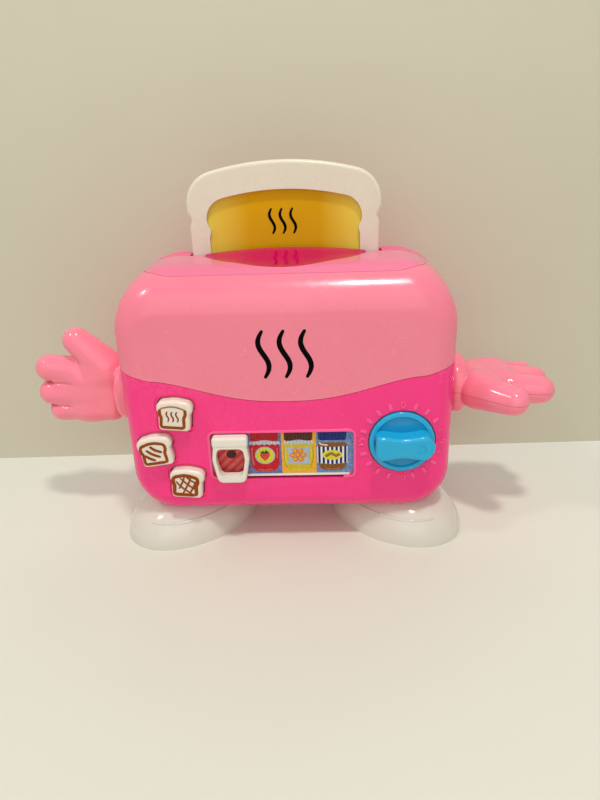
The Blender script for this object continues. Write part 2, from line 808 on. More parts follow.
def round_cone(points: np.ndarray, start: Colour, end: Colour, wide: float, thin: float) -> np.ndarray:
    """Distance to a rounded cone.

    Args:
        points: the points asked for.
        start: its first centre.
        end: its second centre.
        wide: its radius at the first centre.
        thin: its radius at the second.

    Returns:
        The distance of each point, negative inside.
    """
    first, last = np.array(start, float), np.array(end, float)
    line = last - first
    length = float(line @ line)
    fall = wide - thin
    slant = length - fall * fall
    ray = points - first
    along = ray @ line
    past = along - length
    square = ((ray * length - along[:, None] * line) ** 2).sum(1)
    ahead, behind = along * along * length, past * past * length
    turn = math.copysign(1.0, fall) * fall * fall * square
    at_end = np.sign(past) * slant * behind > turn
    at_start = np.sign(along) * slant * ahead < turn
    side = (np.sqrt(square * slant / length) + along * fall) / length - wide
    tip = np.sqrt(square + behind) / length - thin
    root = np.sqrt(square + ahead) / length - wide
    return np.where(at_end, tip, np.where(at_start, root, side))


def round_block(points: np.ndarray, low: Colour, high: Colour, radius: float) -> np.ndarray:
    """Distance to a block between two corners with rounded edges."""
    middle = (np.array(low) + np.array(high)) / 2
    half = (np.array(high) - np.array(low)) / 2 - radius
    out = np.abs(points - middle) - half
    return np.linalg.norm(np.maximum(out, 0), axis=1) + np.minimum(out.max(1), 0) - radius


def round_disc(points: np.ndarray, start: float, end: float, centre: Point, radius: float,
               edge: float) -> np.ndarray:
    """Distance to a disc across X with rounded edges.

    Args:
        points: the points asked for.
        start: where it starts in X.
        end: where it ends in X.
        centre: its centre in Y and Z.
        radius: its outer radius.
        edge: the radius of its rounded edge.

    Returns:
        The distance of each point, negative inside.
    """
    around = np.hypot(points[:, 1] - centre[0], points[:, 2] - centre[1]) - (radius - edge)
    along = np.abs(points[:, 0] - (start + end) / 2) - ((end - start) / 2 - edge)
    outer = np.hypot(np.maximum(around, 0), np.maximum(along, 0))
    return outer + np.minimum(np.maximum(around, along), 0) - edge


class Section(Enum):
    """Cross-sections of a printed or raised line: places across and up, from 0 to 1."""

    FLAT = ((-1.0, 0.0), (-1.0, 1.0), (1.0, 1.0), (1.0, 0.0))
    CROWNED = ((-1.0, 0.0), (-0.92, 0.45), (-0.7, 0.8), (-0.3, 1.0),
               (0.3, 1.0), (0.7, 0.8), (0.92, 0.45), (1.0, 0.0))


class Layer(float, Enum):
    """How far each layer of ink stands above its surface, so that no two lie at one height."""

    GROUND = 0.02
    BAND = 0.035
    GLASS = 0.04
    LID = 0.05
    SHINE = 0.055
    BASE = 0.06
    RIB = 0.065
    CLOTH = 0.07
    LABEL = 0.075
    FOLD = 0.085
    FIELD = 0.09
    MOTIF = 0.11
    DETAIL = 0.125
    CORE = 0.14


CAP_ANGLES = (8, 25, 45, 65, 90)
TAPER_REACH = 0.35
CAP_LEAST = 0.2


class Bed:
    """Gathers flat shapes and lines on a surface into one thin closed mesh."""

    def __init__(self, place: Callable[[float, float, float], tuple], sunk: float = 0.12) -> None:
        """Starts an empty bed.

        Args:
            place: turns two coordinates on the surface and a height above it into a point.
            sunk: how far the shapes go into the surface.
        """
        self.place = place
        self.sunk = sunk
        self.verts: list[tuple] = []
        self.faces: list[list[int]] = []
        self.inks: list[Finish] = []
        self.used: list[int] = []

    def ink(self, finish: Finish) -> int:
        """Gives the number of a finish on this bed."""
        if finish not in self.inks:
            self.inks.append(finish)
        return self.inks.index(finish)

    def keep(self, faces: list[list[int]], finish: Finish) -> None:
        """Adds faces in one finish."""
        self.faces += faces
        self.used += [self.ink(finish)] * len(faces)

    def patch(self, outline: list[Point], finish: Finish, lift: float) -> None:
        """Adds a flat shape.

        Args:
            outline: its edge.
            finish: its ink.
            lift: how far it stands above the surface.
        """
        start, count = len(self.verts), len(outline)
        self.verts += [self.place(a, b, lift) for a, b in outline]
        self.verts += [self.place(a, b, -self.sunk) for a, b in outline]
        top = list(range(start, start + count))
        low = list(range(start + count, start + 2 * count))
        sides = [[top[i], top[(i + 1) % count], low[(i + 1) % count], low[i]] for i in range(count)]
        self.keep([top, low[::-1], *sides], finish)

    def line(self, points: list[Point], width: float, finish: Finish, lift: float,
             section: Section = Section.FLAT, taper: float = 1.0) -> None:
        """Adds a line with rounded ends.

        Args:
            points: its middle line.
            width: its width.
            finish: its ink.
            lift: how far it stands above the surface.
            section: its cross-section.
            taper: its width at the ends, as a share of the width in the middle.
        """
        middle = np.array(points, float)
        step = np.linalg.norm(np.diff(middle, axis=0), axis=1)
        reach = np.concatenate([[0.0], np.cumsum(step)])
        half, length = width / 2, float(reach[-1])
        half_end = half * taper
        ends = [half_end * (1 - math.cos(math.radians(angle))) for angle in CAP_ANGLES]
        inner = list(np.linspace(ends[-1], length - ends[-1], max(3, len(points)))[1:-1])
        spots = np.array([*ends, *inner, *[length - end for end in reversed(ends)]])
        at = np.stack([np.interp(spots, reach, middle[:, axis]) for axis in (0, 1)], -1)
        ahead = np.gradient(at, spots, axis=0)
        ahead /= np.maximum(np.linalg.norm(ahead, axis=1, keepdims=True), 1e-9)
        aside = np.stack([-ahead[:, 1], ahead[:, 0]], -1)
        rings = []
        for spot, here, out in zip(spots, at, aside):
            share = min(1.0, min(spot, length - spot) / (TAPER_REACH * length + 1e-9))
            wide = half * (taper + (1 - taper) * math.sin(0.5 * math.pi * share))
            edge = min(spot, length - spot, half_end) / max(half_end, 1e-9)
            cap = math.sqrt(max(0.0, 1 - (1 - edge) ** 2))
            ring = []
            for across, up in section.value:
                spot_at = here + out * across * wide * cap
                rise = up if section is Section.FLAT else up * max(cap, CAP_LEAST)
                height = lift * rise if up > 0 else -self.sunk
                ring.append(len(self.verts))
                self.verts.append(self.place(float(spot_at[0]), float(spot_at[1]), height))
            rings.append(ring)
        count = len(section.value)
        faces = [[a[i], a[(i + 1) % count], b[(i + 1) % count], b[i]]
                 for a, b in zip(rings, rings[1:]) for i in range(count)]
        self.keep([*faces, rings[0][::-1], rings[-1]], finish)

    def build(self, name: str, smooth: bool = False) -> Thing:
        """Makes the object from all that was added, each shape closed on its own."""
        piece = mesh_object(name, self.verts, self.faces, smooth)
        for finish in self.inks:
            piece.data.materials.append(finish.material())
        for face, used in zip(piece.data.polygons, self.used):
            face.material_index = used
        return piece


def shifted(points: list[Point], across: float, up: float = 0.0) -> list[Point]:
    """Moves points across and up."""
    return [(first + across, second + up) for first, second in points]


WAVE_APART = 0.42
WAVE_SWAY = 0.1


def front_bed(level: float) -> Bed:
    """Gives a bed on an upright plane that faces the front."""
    return Bed(lambda across, up, lift: (across, level - lift, up))


def heat_waves(middle: float, low: float, high: float, steps: int = 32) -> list[list[Point]]:
    """Gives the middle lines of three upright waves side by side, the common sign for heat.

    Args:
        middle: where the middle wave stands.
        low: where the waves begin.
        high: how high they are.
        steps: how many steps each is made of.
    """
    waves = []
    for place in (-1, 0, 1):
        stand = middle + place * WAVE_APART * high
        waves.append([(stand + WAVE_SWAY * high * math.sin(math.tau * step / steps),
                       low + high * step / steps) for step in range(steps + 1)])
    return waves


# The pieces


@dataclass
class Housing:
    """Body shells of the toaster with a heat sign printed on the front."""

    front: float = -46.25
    sign_low: float = 126.0
    sign_high: float = 32.0
    sign_wide: float = 3.4

    def build(self, nodes: Nodes) -> None:
        """Dresses the shells and prints the sign."""
        dress(nodes, HOT_PINK, "front_lower_shell", "rear_shell", "battery_door")
        dress(nodes, SOFT_PINK, "front_upper_shell")
        dress(nodes, TOP_PINK, "top_plate")
        dress(nodes, CRIMSON, "slot_liner", "toast_chute")
        settle(self.sign(), "body", "light_pink")

    def sign(self) -> Thing:
        """Prints three plain upright waves.

        Returns:
            The print.
        """
        bed = front_bed(self.front)
        for wave in heat_waves(0.0, self.sign_low, self.sign_high):
            bed.line(wave, self.sign_wide, BLACK_INK, Layer.CLOTH, taper=0.55)
        return bed.build("heat_print")


@dataclass
class ToastSlice:
    """Pop-up slice: white frame, amber panels and a small printed heat sign."""

    panel: float = 15.65
    middle: float = -1.2
    sign_low: float = 207.5
    sign_high: float = 17.0
    sign_wide: float = 2.0

    def build(self, nodes: Nodes) -> None:
        """Dresses the slice and prints its sign."""
        dress(nodes, TOAST_WHITE, "toast_frame")
        dress(nodes, AMBER, "toast_face", "toast_back")
        dress(nodes, GREY, "toast_platform")
        bed = front_bed(self.panel)
        for wave in heat_waves(self.middle, self.sign_low, self.sign_high):
            bed.line(wave, self.sign_wide, BLACK_INK, Layer.BASE, taper=0.55)
        settle(bed.build("slice_heat_print"), "toast", "amber")


@dataclass
class Hand:
    """One swinging hand with its cuff, made as one soft form with a parting line."""

    side: int
    arm_y: float = 3.75
    arm_z: float = 101.0
    wrist: float = 113.6
    cuff_end: float = 124.2
    cuff_radius: float = 21.5
    cuff_edge: float = 3.8
    palm_low: Colour = (121.2, -12.6, -23.6)
    palm_high: Colour = (160.0, 12.6, 21.0)
    palm_edge: float = 11.0
    fingers: tuple = (
        ((18.4, 16.8, 13.5), (37.8, 37.9, 9.6)),
        ((32.4, 13.6, 11.2), (60.8, 17.8, 9.8)),
        ((32.4, -0.8, 11.5), (61.4, -0.9, 9.8)),
        ((32.4, -12.3, 11.5), (56.4, -14.6, 9.0)),
    )
    web_low: Colour = (138.0, -10.2, -19.0)
    web_high: Colour = (173.0, 10.2, 23.0)
    web_edge: float = 6.0
    web_fall: float = 0.055
    creases: tuple = (
        ((66.0, 8.4), (40.0, 8.4), 0.8, 1.5),
        ((62.0, -9.6), (43.0, -9.4), 0.8, 1.3),
        ((39.0, 26.0), (31.0, 8.0), 2.4, 0.9),
    )
    finger_fillet: float = 1.0
    web_fillet: float = 2.0
    palm_fillet: float = 5.0
    thumb_fillet: float = 4.0
    cuff_fillet: float = 0.8
    screws: tuple = ((25.4, -16.0), (38.4, 4.0))
    screw_seat: float = 8.0
    well: float = 3.6
    seam_half: float = 0.4
    seam_deep: float = 0.8
    space: tuple = ((-2.0, -24.0, -32.0), (72.0, 24.0, 48.0))
    cell: float = 0.75

    @property
    def name(self) -> str:
        """The hand's side as it is in the model's names."""
        return "right" if self.side > 0 else "left"

    def form(self, points: np.ndarray) -> np.ndarray:
        """Distance to the hand, thumb up, with x away from the body and y and z from the arm's axis.

        Args:
            points: the points asked for.

        Returns:
            The distance of each point, negative inside.
        """
        palm = round_block(points, self.palm_low, self.palm_high, self.palm_edge)
        shapes = []
        for (x0, z0, r0), (x1, z1, r1) in self.fingers:
            shapes.append(round_cone(points, (self.wrist + x0, 0, z0), (self.wrist + x1, 0, z1), r0, r1))
        thumb, first, second, third = shapes
        fingers = melt(melt(first, second, self.finger_fillet), third, self.finger_fillet)
        thinned = points.copy()
        thinned[:, 1] *= 1 + self.web_fall * np.clip(points[:, 0] - self.web_low[0], 0, 40) / 10
        web = round_block(thinned, self.web_low, self.web_high, self.web_edge)
        fingers = melt(fingers, web, self.web_fillet)
        hand = melt(melt(palm, fingers, self.palm_fillet), thumb, self.thumb_fillet)
        for (x0, z0), (x1, z1), wide, deep in self.creases:
            hand = hand + deep * self.crease(points, (self.wrist + x0, z0), (self.wrist + x1, z1), wide)
        cuff = round_disc(points, self.wrist, self.cuff_end, (0, 0), self.cuff_radius, self.cuff_edge)
        whole = melt(hand, cuff, self.cuff_fillet)
        whole = np.maximum(whole, self.wrist - points[:, 0])
        for x, z in self.screws:
            hole = np.hypot(points[:, 0] - self.wrist - x, points[:, 2] - z) - self.well
            whole = np.maximum(whole, -np.maximum(hole, self.screw_seat - points[:, 1]))
        return whole

    @staticmethod
    def crease(points: np.ndarray, start: Point, end: Point, wide: float) -> np.ndarray:
        """How strongly a crease draws the surface in.

        Args:
            points: the points asked for.
            start: its open end in X and Z.
            end: its fading end in X and Z.
            wide: its half width.

        Returns:
            A share from 0 to 1 for each point.
        """
        first, way = np.array(start), np.array(end) - np.array(start)
        ray = points[:, [0, 2]] - first
        along = (ray @ way) / (way @ way)
        off = np.linalg.norm(ray - np.clip(along, 0, 1)[:, None] * way, axis=1)
        return np.exp(-((off / wide) ** 2)) * np.clip(3.0 * (1 - along), 0, 1)

    def build(self, nodes: Nodes) -> None:
        """Dresses the arm's shaft and screws and makes the hand."""
        dress(nodes, CRIMSON, f"{self.name}_arm_shaft")
        dress(nodes, STEEL, f"{self.name}_arm_screw", f"{self.name}_arm_washer", f"{self.name}_hand_screws")
        low, high = ((self.wrist + x, y, z) for x, y, z in self.space)
        points, faces = surface_net(self.form, low, high, self.cell)
        points = onto(self.form, points)
        mesh = bpy.data.meshes.new("hand_form")
        mesh.from_pydata(points.tolist(), [], faces.tolist())
        work = bmesh.new()
        work.from_mesh(mesh)
        for level in (-self.seam_half, 0.0, self.seam_half):
            bmesh.ops.bisect_plane(work, geom=[*work.verts, *work.edges, *work.faces], dist=0.02,
                                   plane_co=(0, level, 0), plane_no=(0, 1, 0))
        bmesh.ops.recalc_face_normals(work, faces=work.faces)
        seam = [vert for vert in work.verts if abs(vert.co.y) < 1e-4]
        inward = slope(self.form, np.array([vert.co for vert in seam]))
        for vert, away in zip(seam, inward):
            vert.co -= Vector(away) * self.seam_deep
        turn = Matrix.Scale(-1, 4, (1, 0, 0))
        if self.side > 0:
            turn = Matrix.Rotation(math.radians(90), 4, "X") @ Matrix.Rotation(math.pi, 4, "Z") @ turn
        place = Matrix.Translation(Vector((0, self.arm_y, self.arm_z)) * MM) @ turn @ Matrix.Scale(MM, 4)
        work.transform(place)
        bmesh.ops.recalc_face_normals(work, faces=work.faces)
        work.to_mesh(mesh)
        work.free()
        for face in mesh.polygons:
            face.use_smooth = True
        piece = bpy.data.objects.new(f"{self.name}_hand", mesh)
        bpy.context.scene.collection.objects.link(piece)
        mesh.materials.append(HAND_PINK.material())
        settle(piece, f"{self.name}_arm", "light_pink", f"{self.name}_hand_front", f"{self.name}_hand_back")


class Topping(Enum):
    """What is printed on a bread key."""

    WARM = 1
    STRIPES = 2
    LATTICE = 3


@dataclass
class BreadKey:
    """One bread-shaped key with its brown print."""

    topping: Topping
    x: float
    z: float
    turn: float
    face: float = -51.85
    shift: Point = (-1.0, -1.35)
    border_wide: float = 2.1
    border_thin: float = 1.1
    border_more: float = 0.4
    stripe_wide: float = 2.0
    lattice_wide: float = 1.35
    wave_wide: float = 1.1
    waves: tuple = (-1.15, -4.9, 7.4)

    def place(self, across: float, up: float, lift: float) -> tuple[float, float, float]:
        """Puts a point of the key's own face into the frame."""
        angle = math.radians(self.turn)
        return (self.x + across * math.cos(angle) - up * math.sin(angle), self.face - lift,
                self.z + across * math.sin(angle) + up * math.cos(angle))

    def border(self) -> list[Point]:
        """Middle line of the printed bread border, as the key's own coordinates."""
        half = [(7.6, -7.6, 1.4), (7.3, -0.6, 1.6), (8.3, 1.6, 1.6), (8.4, 5.4, 4.2)]
        corners = [*half, (0.0, 7.9, 20.0), *[(-x, z, r) for x, z, r in reversed(half)]]
        return [(x + self.shift[0], z + self.shift[1]) for x, z in rounded(corners, 6)]

    def build(self, nodes: Nodes) -> None:
        """Dresses the key and prints its picture."""
        number = self.topping.value
        dress(nodes, KEY_WHITE, f"button_cap_{number}")
        bed = Bed(self.place)
        edge = self.border()
        if self.topping is Topping.WARM:
            bed.line([*edge[38:], *edge[:26]], self.border_wide, BROWN_INK, Layer.BASE)
            bed.line(edge[24:40], self.border_thin, TAN_INK, Layer.LID)
        else:
            extra = self.border_more if self.topping is Topping.LATTICE else 0.0
            bed.line([*edge, edge[0], edge[1]], self.border_wide + extra, BROWN_INK, Layer.BASE)
        for index, (width, points) in enumerate(self.strokes()):
            bed.line(smooth_line(points, 8), width, BROWN_INK, Layer.LABEL + 0.004 * index, taper=0.75)
        settle(bed.build(f"key_print_{number}"), f"key_{number}", "white")

    def strokes(self) -> list[tuple[float, list[Point]]]:
        """Width and points of each stroke inside the border."""
        if self.topping is Topping.WARM:
            return [(self.wave_wide, wave) for wave in heat_waves(*self.waves, 8)]
        if self.topping is Topping.STRIPES:
            stripes = [[(-2.8, 4.0), (0.2, 0.8), (4.7, -1.5)], [(-5.9, 1.6), (-2.3, -1.9), (3.0, -4.9)],
                       [(-7.4, -2.2), (-4.7, -4.8), (-1.0, -6.9)]]
            return [(self.stripe_wide, points) for points in stripes]
        rising = [[(-5.4, -4.6), (-3.0, 0.6), (-1.6, 5.4)], [(-2.6, -8.0), (0.4, -1.6), (2.8, 4.8)],
                  [(1.8, -8.2), (4.2, -3.2), (6.0, 1.8)]]
        falling = [[(-4.6, 4.0), (0.6, -0.9), (6.2, -4.6)], [(-7.6, 1.2), (-3.0, -3.6), (3.2, -7.8)],
                   [(-0.6, 5.2), (3.0, 2.2), (6.6, 0.6)]]
        return [(self.lattice_wide, points) for points in [*rising, *falling]]


@dataclass
class PictureWindow:
    """Sliding frame over a card with four plain pictures of spreads."""

    card: float = -44.65
    edges: tuple = (-52.4, -28.4, -5.0, 18.5, 43.4)
    low: float = 55.6
    high: float = 87.3
    jar_low: float = 57.2
    neck: float = 78.6
    berry_mid: float = -16.4
    berry_up: float = 69.4
    honey_mid: float = 6.5
    nut_mid: float = 29.3

    def ground(self, bed: Bed, number: int, finish: Finish) -> None:
        """Prints a picture's plain ground."""
        start, end = self.edges[number], self.edges[number + 1]
        corners = [(start, self.low), (end, self.low), (end, self.high), (start, self.high)]
        bed.patch(corners, finish, Layer.GROUND)

    def jar(self, bed: Bed, mid: float, half: float, body: Finish, lid: Finish, rib: Finish,
            shine: Finish) -> None:
        """Prints a jar, its lid and the shine on both.

        Args:
            bed: where it is printed.
            mid: where its middle is.
            half: its half width.
            body: the jar's ink.
            lid: the lid's ink.
            rib: the ink of the lid's ribs.
            shine: the ink of the shine down its sides.
        """
        low, neck, left, right = self.jar_low, self.neck, mid - half, mid + half
        glass = [(left + 0.5, low, 6.5), (right - 0.5, low, 6.5), (right + 0.2, neck, 3.0),
                 (left - 0.2, neck, 3.0)]
        bed.patch(rounded(glass, 8), body, Layer.GLASS)
        for width, shape in (
            (1.1, [(left + 1.5, neck - 3), (left + 1.2, 69.0), (left + 2.2, low + 4.6)]),
            (0.6, [(right - 1.7, neck - 3.4), (right - 1.5, 72.0), (right - 1.8, 67.0)]),
            (0.7, [(mid - 5.0, low + 1.5), (mid, low + 0.9), (mid + 5.0, low + 1.5)]),
        ):
            bed.line(smooth_line(shape, 6), width, shine, Layer.SHINE)
        foot = neck + 1.6
        cap = [(left + 0.8, foot, 1.6), (right - 0.8, foot, 1.6), (right - 0.5, self.high, 0.2),
               (left + 0.5, self.high, 0.2)]
        bed.patch(rounded(cap, 5), lid, Layer.LID)
        for index in range(10):
            across = mid + (half - 1.6) * (index / 4.5 - 1)
            bed.line([(across, neck + 2.6), (across, self.high - 0.9)], 0.4, rib, Layer.RIB)
        bed.line([(left + 1.2, self.high - 1.0), (right - 1.2, self.high - 1.0)], 0.5, rib, Layer.CLOTH)

    def ruff(self, bed: Bed, mid: float, half: float) -> None:
        """Prints the gathered cloth under a lid."""
        low = [(half * (i / 24 - 1), 77.0 + abs(math.sin(math.pi * 6 * i / 48))) for i in range(49)]
        high = [((half - 0.3) * (1 - i / 12), 80.4 + 0.6 * math.cos(math.pi * (i - 12) / 10))
                for i in range(25)]
        bed.patch(shifted([*low, *high], mid), RUFF_INK, Layer.CLOTH)
        for index in range(9):
            across = half * (index / 4 - 1) * 0.9
            bed.line(shifted([(across, 78.2), (across * 0.93, 80.2)], mid), 0.7, CLOTH_INK, Layer.FOLD)

    def spread(self, bed: Bed) -> None:
        """Prints the slice with a red spread: sloping pale bands and three dark berries."""
        start, end = self.edges[0] + 1.6, self.edges[1] - 1.6
        for index in range(7):
            foot = -77.0 + 6.6 * index
            left, right = max(start, foot), min(end, foot + 27.0)
            band = [(left, self.jar_low + left - foot), (right, self.jar_low + right - foot)]
            bed.line(band, 2.3, PALE_RED_INK, Layer.BAND)
        for across, up, size in ((-39.2, 70.8, 3.3), (-46.2, 80.0, 2.8), (-33.2, 79.0, 2.8)):
            bed.patch(oval((across, up), size, size * 0.94, 36), BERRY_INK, Layer.LID)
            ring = arc((across, up + 0.1), size * 0.62, size * 0.52, 20, 330, 20)
            bed.line(ring, 0.45, SEED_INK, Layer.RIB)
            bed.patch(oval((across + 0.2, up), size * 0.2, size * 0.16, 14), SEED_INK, Layer.RIB)

    def berry_jar(self, bed: Bed) -> None:
        """Prints a red jar with a berry on a round label."""
        mid, up = self.berry_mid, self.berry_up
        self.jar(bed, mid, 10.0, RED_INK, RED_INK, DEEP_RED_INK, PALE_RED_INK)
        self.ruff(bed, mid, 10.7)
        bed.patch(oval((mid, up), 6.9, 6.6, 48), RUFF_INK, Layer.CLOTH)
        bed.patch(oval((mid, up), 6.1, 5.8, 48), LEMON_INK, Layer.FIELD)
        side = [(2.2, -2.0), (3.4, 0.6), (2.4, 2.2)]
        other = [(-across, high) for across, high in reversed(side)]
        berry = [(0.0, -4.2), *side, (0.0, 2.0), *other, (0.0, -4.2)]
        bed.patch(smooth_line(shifted(berry, mid, up), 5)[:-1], SCARLET_INK, Layer.MOTIF)
        for lean in (-62, -28, 28, 62):
            angle = math.radians(90 + lean)
            leaf = (mid + 1.9 * math.cos(angle), up + 1.6 + 1.2 * math.sin(angle))
            bed.patch(oval(leaf, 1.5, 0.55, 16, 90 + lean), LEAF_INK, Layer.DETAIL)
        bed.line(shifted([(0.1, 2.2), (0.6, 4.3)], mid, up), 0.5, LEAF_INK, Layer.DETAIL)
        seeds = [(-1.6, 0.5), (0.2, 0.6), (1.8, 0.4), (-0.8, -1.0), (0.9, -1.1), (0.0, -2.5)]
        for seed in shifted(seeds, mid, up):
            bed.patch(oval(seed, 0.2, 0.3, 8), GOLD_INK, Layer.DETAIL)

    def honey_jar(self, bed: Bed) -> None:
        """Prints a golden jar with a comb on a pale label."""
        mid = self.honey_mid
        self.jar(bed, mid, 10.2, OLIVE_GOLD_INK, COCOA_INK, SEED_INK, LEMON_INK)
        for way in (-1, 1):
            edge = shifted([(way * 9.6, 76.0), (way * 9.7, 66.0), (way * 7.4, 59.4)], mid)
            bed.line(smooth_line(edge, 6), 0.4, TAN_INK, Layer.BASE)
        self.ruff(bed, mid, 10.6)
        label = [(-7.4, 63.0), (0.0, 62.4), (7.2, 63.0), (6.6, 69.0), (7.8, 75.2), (0.0, 74.4), (-7.8, 75.2),
                 (-6.9, 69.0), (-7.4, 63.0)]
        bed.patch(smooth_line(shifted(label, mid), 5)[:-1], RUFF_INK, Layer.FIELD)
        comb = [(-2.2, 3.6), (1.5, 3.6), (-4.1, 0.4), (-0.3, 0.4), (3.4, 0.4), (-2.2, -2.8), (1.5, -2.8)]
        for across, high in comb:
            bed.patch(oval((mid + across, 69.0 + high), 2.05, 1.95, 6, 30), HONEY_INK, Layer.MOTIF)
            bed.patch(oval((mid + across - 0.2, 69.1 + high), 1.1, 1.0, 6, 30), ORANGE_INK, Layer.DETAIL)

    def nut_jar(self, bed: Bed) -> None:
        """Prints a striped jar with nuts on a pointed label."""
        mid = self.nut_mid
        self.jar(bed, mid, 10.1, NUT_INK, NAVY_INK, BLUE_RIB_INK, TAN_INK)
        shine = shifted([(-8.8, 78.6), (-7.4, 77.2), (-3.0, 76.4)], mid)
        bed.line(smooth_line(shine, 6), 0.9, CREAM_INK, Layer.BASE)
        label = [(-10.15, 62.9), (0.0, 62.0), (10.15, 62.9), (10.25, 75.6), (0.0, 74.9), (-10.25, 75.6)]
        bed.patch(shifted(label, mid), WHITE_INK, Layer.LABEL)
        for index in range(7):
            across = mid + 1.46 * (2 * index - 6)
            dip = 0.09 * abs(across - mid)
            low, high = 62.05 + dip, 74.95 + 0.07 * dip / 0.09
            bed.patch([(across - 0.8, low), (across + 0.8, low), (across + 0.8, high), (across - 0.8, high)],
                      NAVY_INK, Layer.FIELD)
        bed.patch(oval((mid, 69.0), 6.8, 3.7, 44), LEMON_INK, Layer.MOTIF)
        for across, high, lean in ((-3.0, 0.0, 30), (0.2, 0.7, -35), (3.3, -0.2, 25)):
            for way in (-0.8, 0.8):
                angle = math.radians(lean)
                spot = (mid + across + way * math.cos(angle), 69.0 + high + way * math.sin(angle))
                bed.patch(oval(spot, 1.25, 1.05, 20, lean), NUT_INK, Layer.DETAIL + 0.002 * (way > 0))
                bed.patch(oval(spot, 0.75, 0.6, 14, lean), TAN_INK, Layer.CORE)

    def pictures(self) -> Thing:
        """Prints the four pictures.

        Returns:
            The print.
        """
        bed = front_bed(self.card)
        for number, finish in enumerate((SCARLET_INK, LILAC_INK, ORANGE_INK, SKY_INK)):
            self.ground(bed, number, finish)
        self.spread(bed)
        self.berry_jar(bed)
        self.honey_jar(bed)
        self.nut_jar(bed)
        return bed.build("picture_print")

    def build(self, nodes: Nodes) -> None:
        """Dresses the window's parts and prints the card."""
        dress(nodes, CARD, "picture_card")
        dress(nodes, WHITE, "picture_tray", "slider_frame")
        dress(nodes, GREY, "slider_carrier")
        dress(nodes, STEEL, "slider_rail")
        settle(self.pictures(), "body", "card")


@dataclass
class TimerDial:
    """Blue dial with raised numbers around it."""

    x: float = 75.6
    z: float = 79.0
    ring: float = 26.7
    front: float = -46.25
    high: float = 4.0
    wide: float = 2.4
    stroke: float = 1.0
    space: float = 1.0
    proud: float = 0.7

    def strokes(self, digit: str) -> list[list[Point]]:
        """Lines of one digit in a cell of its own, centred on 0, 0."""
        w, h = self.wide / 2, self.high / 2
        if digit == "0":
            return [arc((0, 0), w, h, 90, 450, 25)]
        if digit == "1":
            return [[(0, -h), (0, h)], [(0, h), (-w * 0.7, h * 0.55)]]
        return [[(w * 0.85, h), (-w * 0.8, h)], [(-w * 0.8, h), (-w * 0.85, h * 0.12)],
                arc((-w * 0.1, -h * 0.32), w * 0.95, h * 0.66, 130, -150, 20)]

    def build(self, nodes: Nodes) -> None:
        """Dresses the dial and raises the numbers 0, 5, 10 and 15 on the shell."""
        dress(nodes, BLUE, "dial_knob")
        dress(nodes, GREY, "dial_shaft", "dial_base", "dial_sensor")
        dress(nodes, STEEL, "dial_spring")
        bed = front_bed(self.front)
        for text, angle, turn in (("0", 90, 0), ("5", 0, -90), ("10", 270, 0), ("15", 180, 90)):
            centre = (self.x + self.ring * math.cos(math.radians(angle)),
                      self.z + self.ring * math.sin(math.radians(angle)))
            for index, digit in enumerate(text):
                shift = (index - (len(text) - 1) / 2) * (self.wide + self.space)
                for stroke in self.strokes(digit):
                    bed.line([self.turned(centre, turn, across + shift, up) for across, up in stroke],
                             self.stroke, HOT_PINK, self.proud, Section.CROWNED)
        settle(bed.build("dial_numbers", smooth=True), "body", "hot_pink")

    @staticmethod
    def turned(centre: Point, turn: float, across: float, up: float) -> Point:
        """Turns a digit's point by some degrees and puts it at its centre."""
        angle = math.radians(turn)
        return (centre[0] + across * math.cos(angle) - up * math.sin(angle),
                centre[1] + across * math.sin(angle) + up * math.cos(angle))


@dataclass
class Shoe:
    """One white shoe with a moulded toe seam."""

    side: int
    x: float = 76.3
    y: float = -6.0
    long: float = 55.2
    short: float = 40.3
    turn: float = -48.5
    seam_share: float = 0.85
    seam_from: float = 245.0
    seam_to: float = 345.0
    seam_wide: float = 1.5
    seam_proud: float = 0.45
    over: float = 100.0

    @property
    def name(self) -> str:
        """The shoe's side as it is in the model's names."""
        return "right" if self.side > 0 else "left"

    def build(self, nodes: Nodes) -> None:
        """Dresses the shoe and raises the seam on its dome."""
        dress(nodes, SHOE_WHITE, f"{self.name}_foot_shell", f"{self.name}_foot_sole")
        shell = nodes[f"{self.name}_foot_shell"]
        tree = BVHTree.FromObject(shell, bpy.context.evaluated_depsgraph_get())

        def drape(across: float, away: float, lift: float) -> tuple[float, float, float]:
            """Drops a point onto the dome from above and lifts it along the dome's normal."""
            spot, normal, _, _ = tree.ray_cast(metres((across, away, self.over)), Vector((0, 0, -1)))
            if spot is None:
                return (across, away, 1.0)
            lifted = spot / MM + normal * lift
            return (lifted.x, lifted.y, lifted.z)

        bed = Bed(drape)
        points, angle = [], math.radians(self.turn)
        reach = (self.long * self.seam_share, self.short * self.seam_share)
        for across, away in arc((0, 0), *reach, self.seam_from, self.seam_to, 40):
            x = across * math.cos(angle) - away * math.sin(angle)
            y = across * math.sin(angle) + away * math.cos(angle)
            points.append((self.side * (self.x + x), self.y + y))
        bed.line(points, self.seam_wide, SHOE_WHITE, self.seam_proud, Section.CROWNED, taper=0.4)
        settle(bed.build(f"{self.name}_shoe_seam", smooth=True), "body", "white")


@dataclass
class Works:
    """Everything inside and at the back that keeps its shape from the model."""

    def build(self, nodes: Nodes) -> None:
        """Dresses the inner parts."""
        dress(nodes, STEEL, "cell_contacts", "door_screw", "foot_screws", "guide_rods", "inner_screws",
              "latch_pin", "lift_springs", "shell_screws")
        dress(nodes, GREY, "battery_box", "latch_hook", "lift_base", "speaker", "speaker_ring",
              "switch_body", "switch_knob")
        dress(nodes, BOARD, "main_board", "button_board")
        dress(nodes, RUBBER, "button_pads")
        dress(nodes, CELL, "cells")


# The studio


